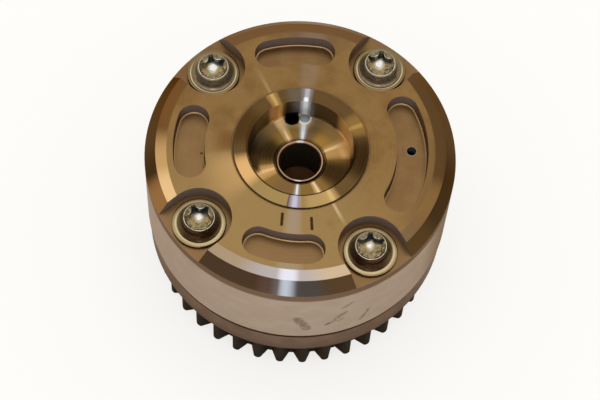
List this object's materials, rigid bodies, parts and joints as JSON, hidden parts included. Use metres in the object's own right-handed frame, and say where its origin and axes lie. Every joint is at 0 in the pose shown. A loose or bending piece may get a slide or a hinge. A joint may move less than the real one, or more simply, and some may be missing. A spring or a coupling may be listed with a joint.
{
  "type": "cam phaser",
  "caption": "Vane-type cam phaser with a toothed chain sprocket, a bolted front cover and a rotor that turns inside to shift the camshaft's timing.",
  "frame": {"origin": "on the axis, in the rear face of the sprocket that the part stands on", "axes": "+Z along the camshaft axis towards the front cover; +X towards the middle of the wide gap between two cover bolts, near the lock pin; +Y completes a right-handed frame"},
  "size_m": [0.084, 0.084, 0.0563],
  "materials": {
    "front_cover": "turned face, bright bevel",
    "stator_housing": "ground, matt",
    "sprocket": "sintered, dark and oily",
    "rotor": "turned and ground",
    "cover_bolts": "zinc plated, satin",
    "hardened_steel": "ground",
    "sleeve_steel": "drawn tube",
    "spring_steel": "bright",
    "seal_strip": "filled plastic, matt"
  },
  "bodies": {
    "housing": {"front_cover": "front_cover", "stator_housing": "stator_housing", "sprocket": "sprocket", "cover_bolts": "cover_bolts", "lock_pin_bush": "hardened_steel", "dowel_pin": "hardened_steel", "shoe_seal_spring_1": "spring_steel", "shoe_seal_spring_2": "spring_steel", "shoe_seal_spring_3": "spring_steel", "shoe_seal_spring_4": "spring_steel"},
    "rotor": {"rotor": "rotor", "centre_sleeve": "sleeve_steel", "lock_pin_cap": "hardened_steel", "lock_pin_spring": "spring_steel", "vane_seal_spring_1": "spring_steel", "vane_seal_spring_2": "spring_steel", "vane_seal_spring_3": "spring_steel", "vane_seal_spring_4": "spring_steel"},
    "lock_pin": {"lock_pin": "hardened_steel"},
    "vane_seal_1": {"vane_seal_1": "seal_strip"},
    "vane_seal_2": {"vane_seal_2": "seal_strip"},
    "vane_seal_3": {"vane_seal_3": "seal_strip"},
    "vane_seal_4": {"vane_seal_4": "seal_strip"},
    "shoe_seal_1": {"shoe_seal_1": "seal_strip"},
    "shoe_seal_2": {"shoe_seal_2": "seal_strip"},
    "shoe_seal_3": {"shoe_seal_3": "seal_strip"},
    "shoe_seal_4": {"shoe_seal_4": "seal_strip"}
  },
  "joints": [
    {"name": "rotor_turn", "type": "hinge", "parent": "housing", "child": "rotor", "pos_m": [0, 0, 0.0365], "axis": [0, 0, -1], "range_deg": [0, 30]},
    {"name": "lock_pin_slide", "type": "slide", "parent": "rotor", "child": "lock_pin", "axis": [0, 0, 1], "range_m": [-0.004, 0], "stiffness_N_per_m": 1000, "springref_m": -0.009, "deforming": ["lock_pin_spring"]},
    {"name": "vane_seal_1_slide", "type": "slide", "parent": "rotor", "child": "vane_seal_1", "axis": [0.9285, 0.3714, 0], "range_m": [-0.0003, 0], "stiffness_N_per_m": 500, "springref_m": 0.0005, "deforming": ["vane_seal_spring_1"]},
    {"name": "vane_seal_2_slide", "type": "slide", "parent": "rotor", "child": "vane_seal_2", "axis": [-0.3584, 0.9336, 0], "range_m": [-0.0003, 0], "stiffness_N_per_m": 500, "springref_m": 0.0005, "deforming": ["vane_seal_spring_2"]},
    {"name": "vane_seal_3_slide", "type": "slide", "parent": "rotor", "child": "vane_seal_3", "axis": [-0.9659, -0.2588, 0], "range_m": [-0.0003, 0], "stiffness_N_per_m": 500, "springref_m": 0.0005, "deforming": ["vane_seal_spring_3"]},
    {"name": "vane_seal_4_slide", "type": "slide", "parent": "rotor", "child": "vane_seal_4", "axis": [0.1564, -0.9877, 0], "range_m": [-0.0003, 0], "stiffness_N_per_m": 500, "springref_m": 0.0005, "deforming": ["vane_seal_spring_4"]},
    {"name": "shoe_seal_1_slide", "type": "slide", "parent": "housing", "child": "shoe_seal_1", "axis": [-0.5878, -0.809, 0], "range_m": [-0.0003, 0], "stiffness_N_per_m": 500, "springref_m": 0.0005, "deforming": ["shoe_seal_spring_1"]},
    {"name": "shoe_seal_2_slide", "type": "slide", "parent": "housing", "child": "shoe_seal_2", "axis": [0.7431, -0.6691, 0], "range_m": [-0.0003, 0], "stiffness_N_per_m": 500, "springref_m": 0.0005, "deforming": ["shoe_seal_spring_2"]},
    {"name": "shoe_seal_3_slide", "type": "slide", "parent": "housing", "child": "shoe_seal_3", "axis": [0.7431, 0.6691, 0], "range_m": [-0.0003, 0], "stiffness_N_per_m": 500, "springref_m": 0.0005, "deforming": ["shoe_seal_spring_3"]},
    {"name": "shoe_seal_4_slide", "type": "slide", "parent": "housing", "child": "shoe_seal_4", "axis": [-0.5878, 0.809, 0], "range_m": [-0.0003, 0], "stiffness_N_per_m": 500, "springref_m": 0.0005, "deforming": ["shoe_seal_spring_4"]}
  ]
}
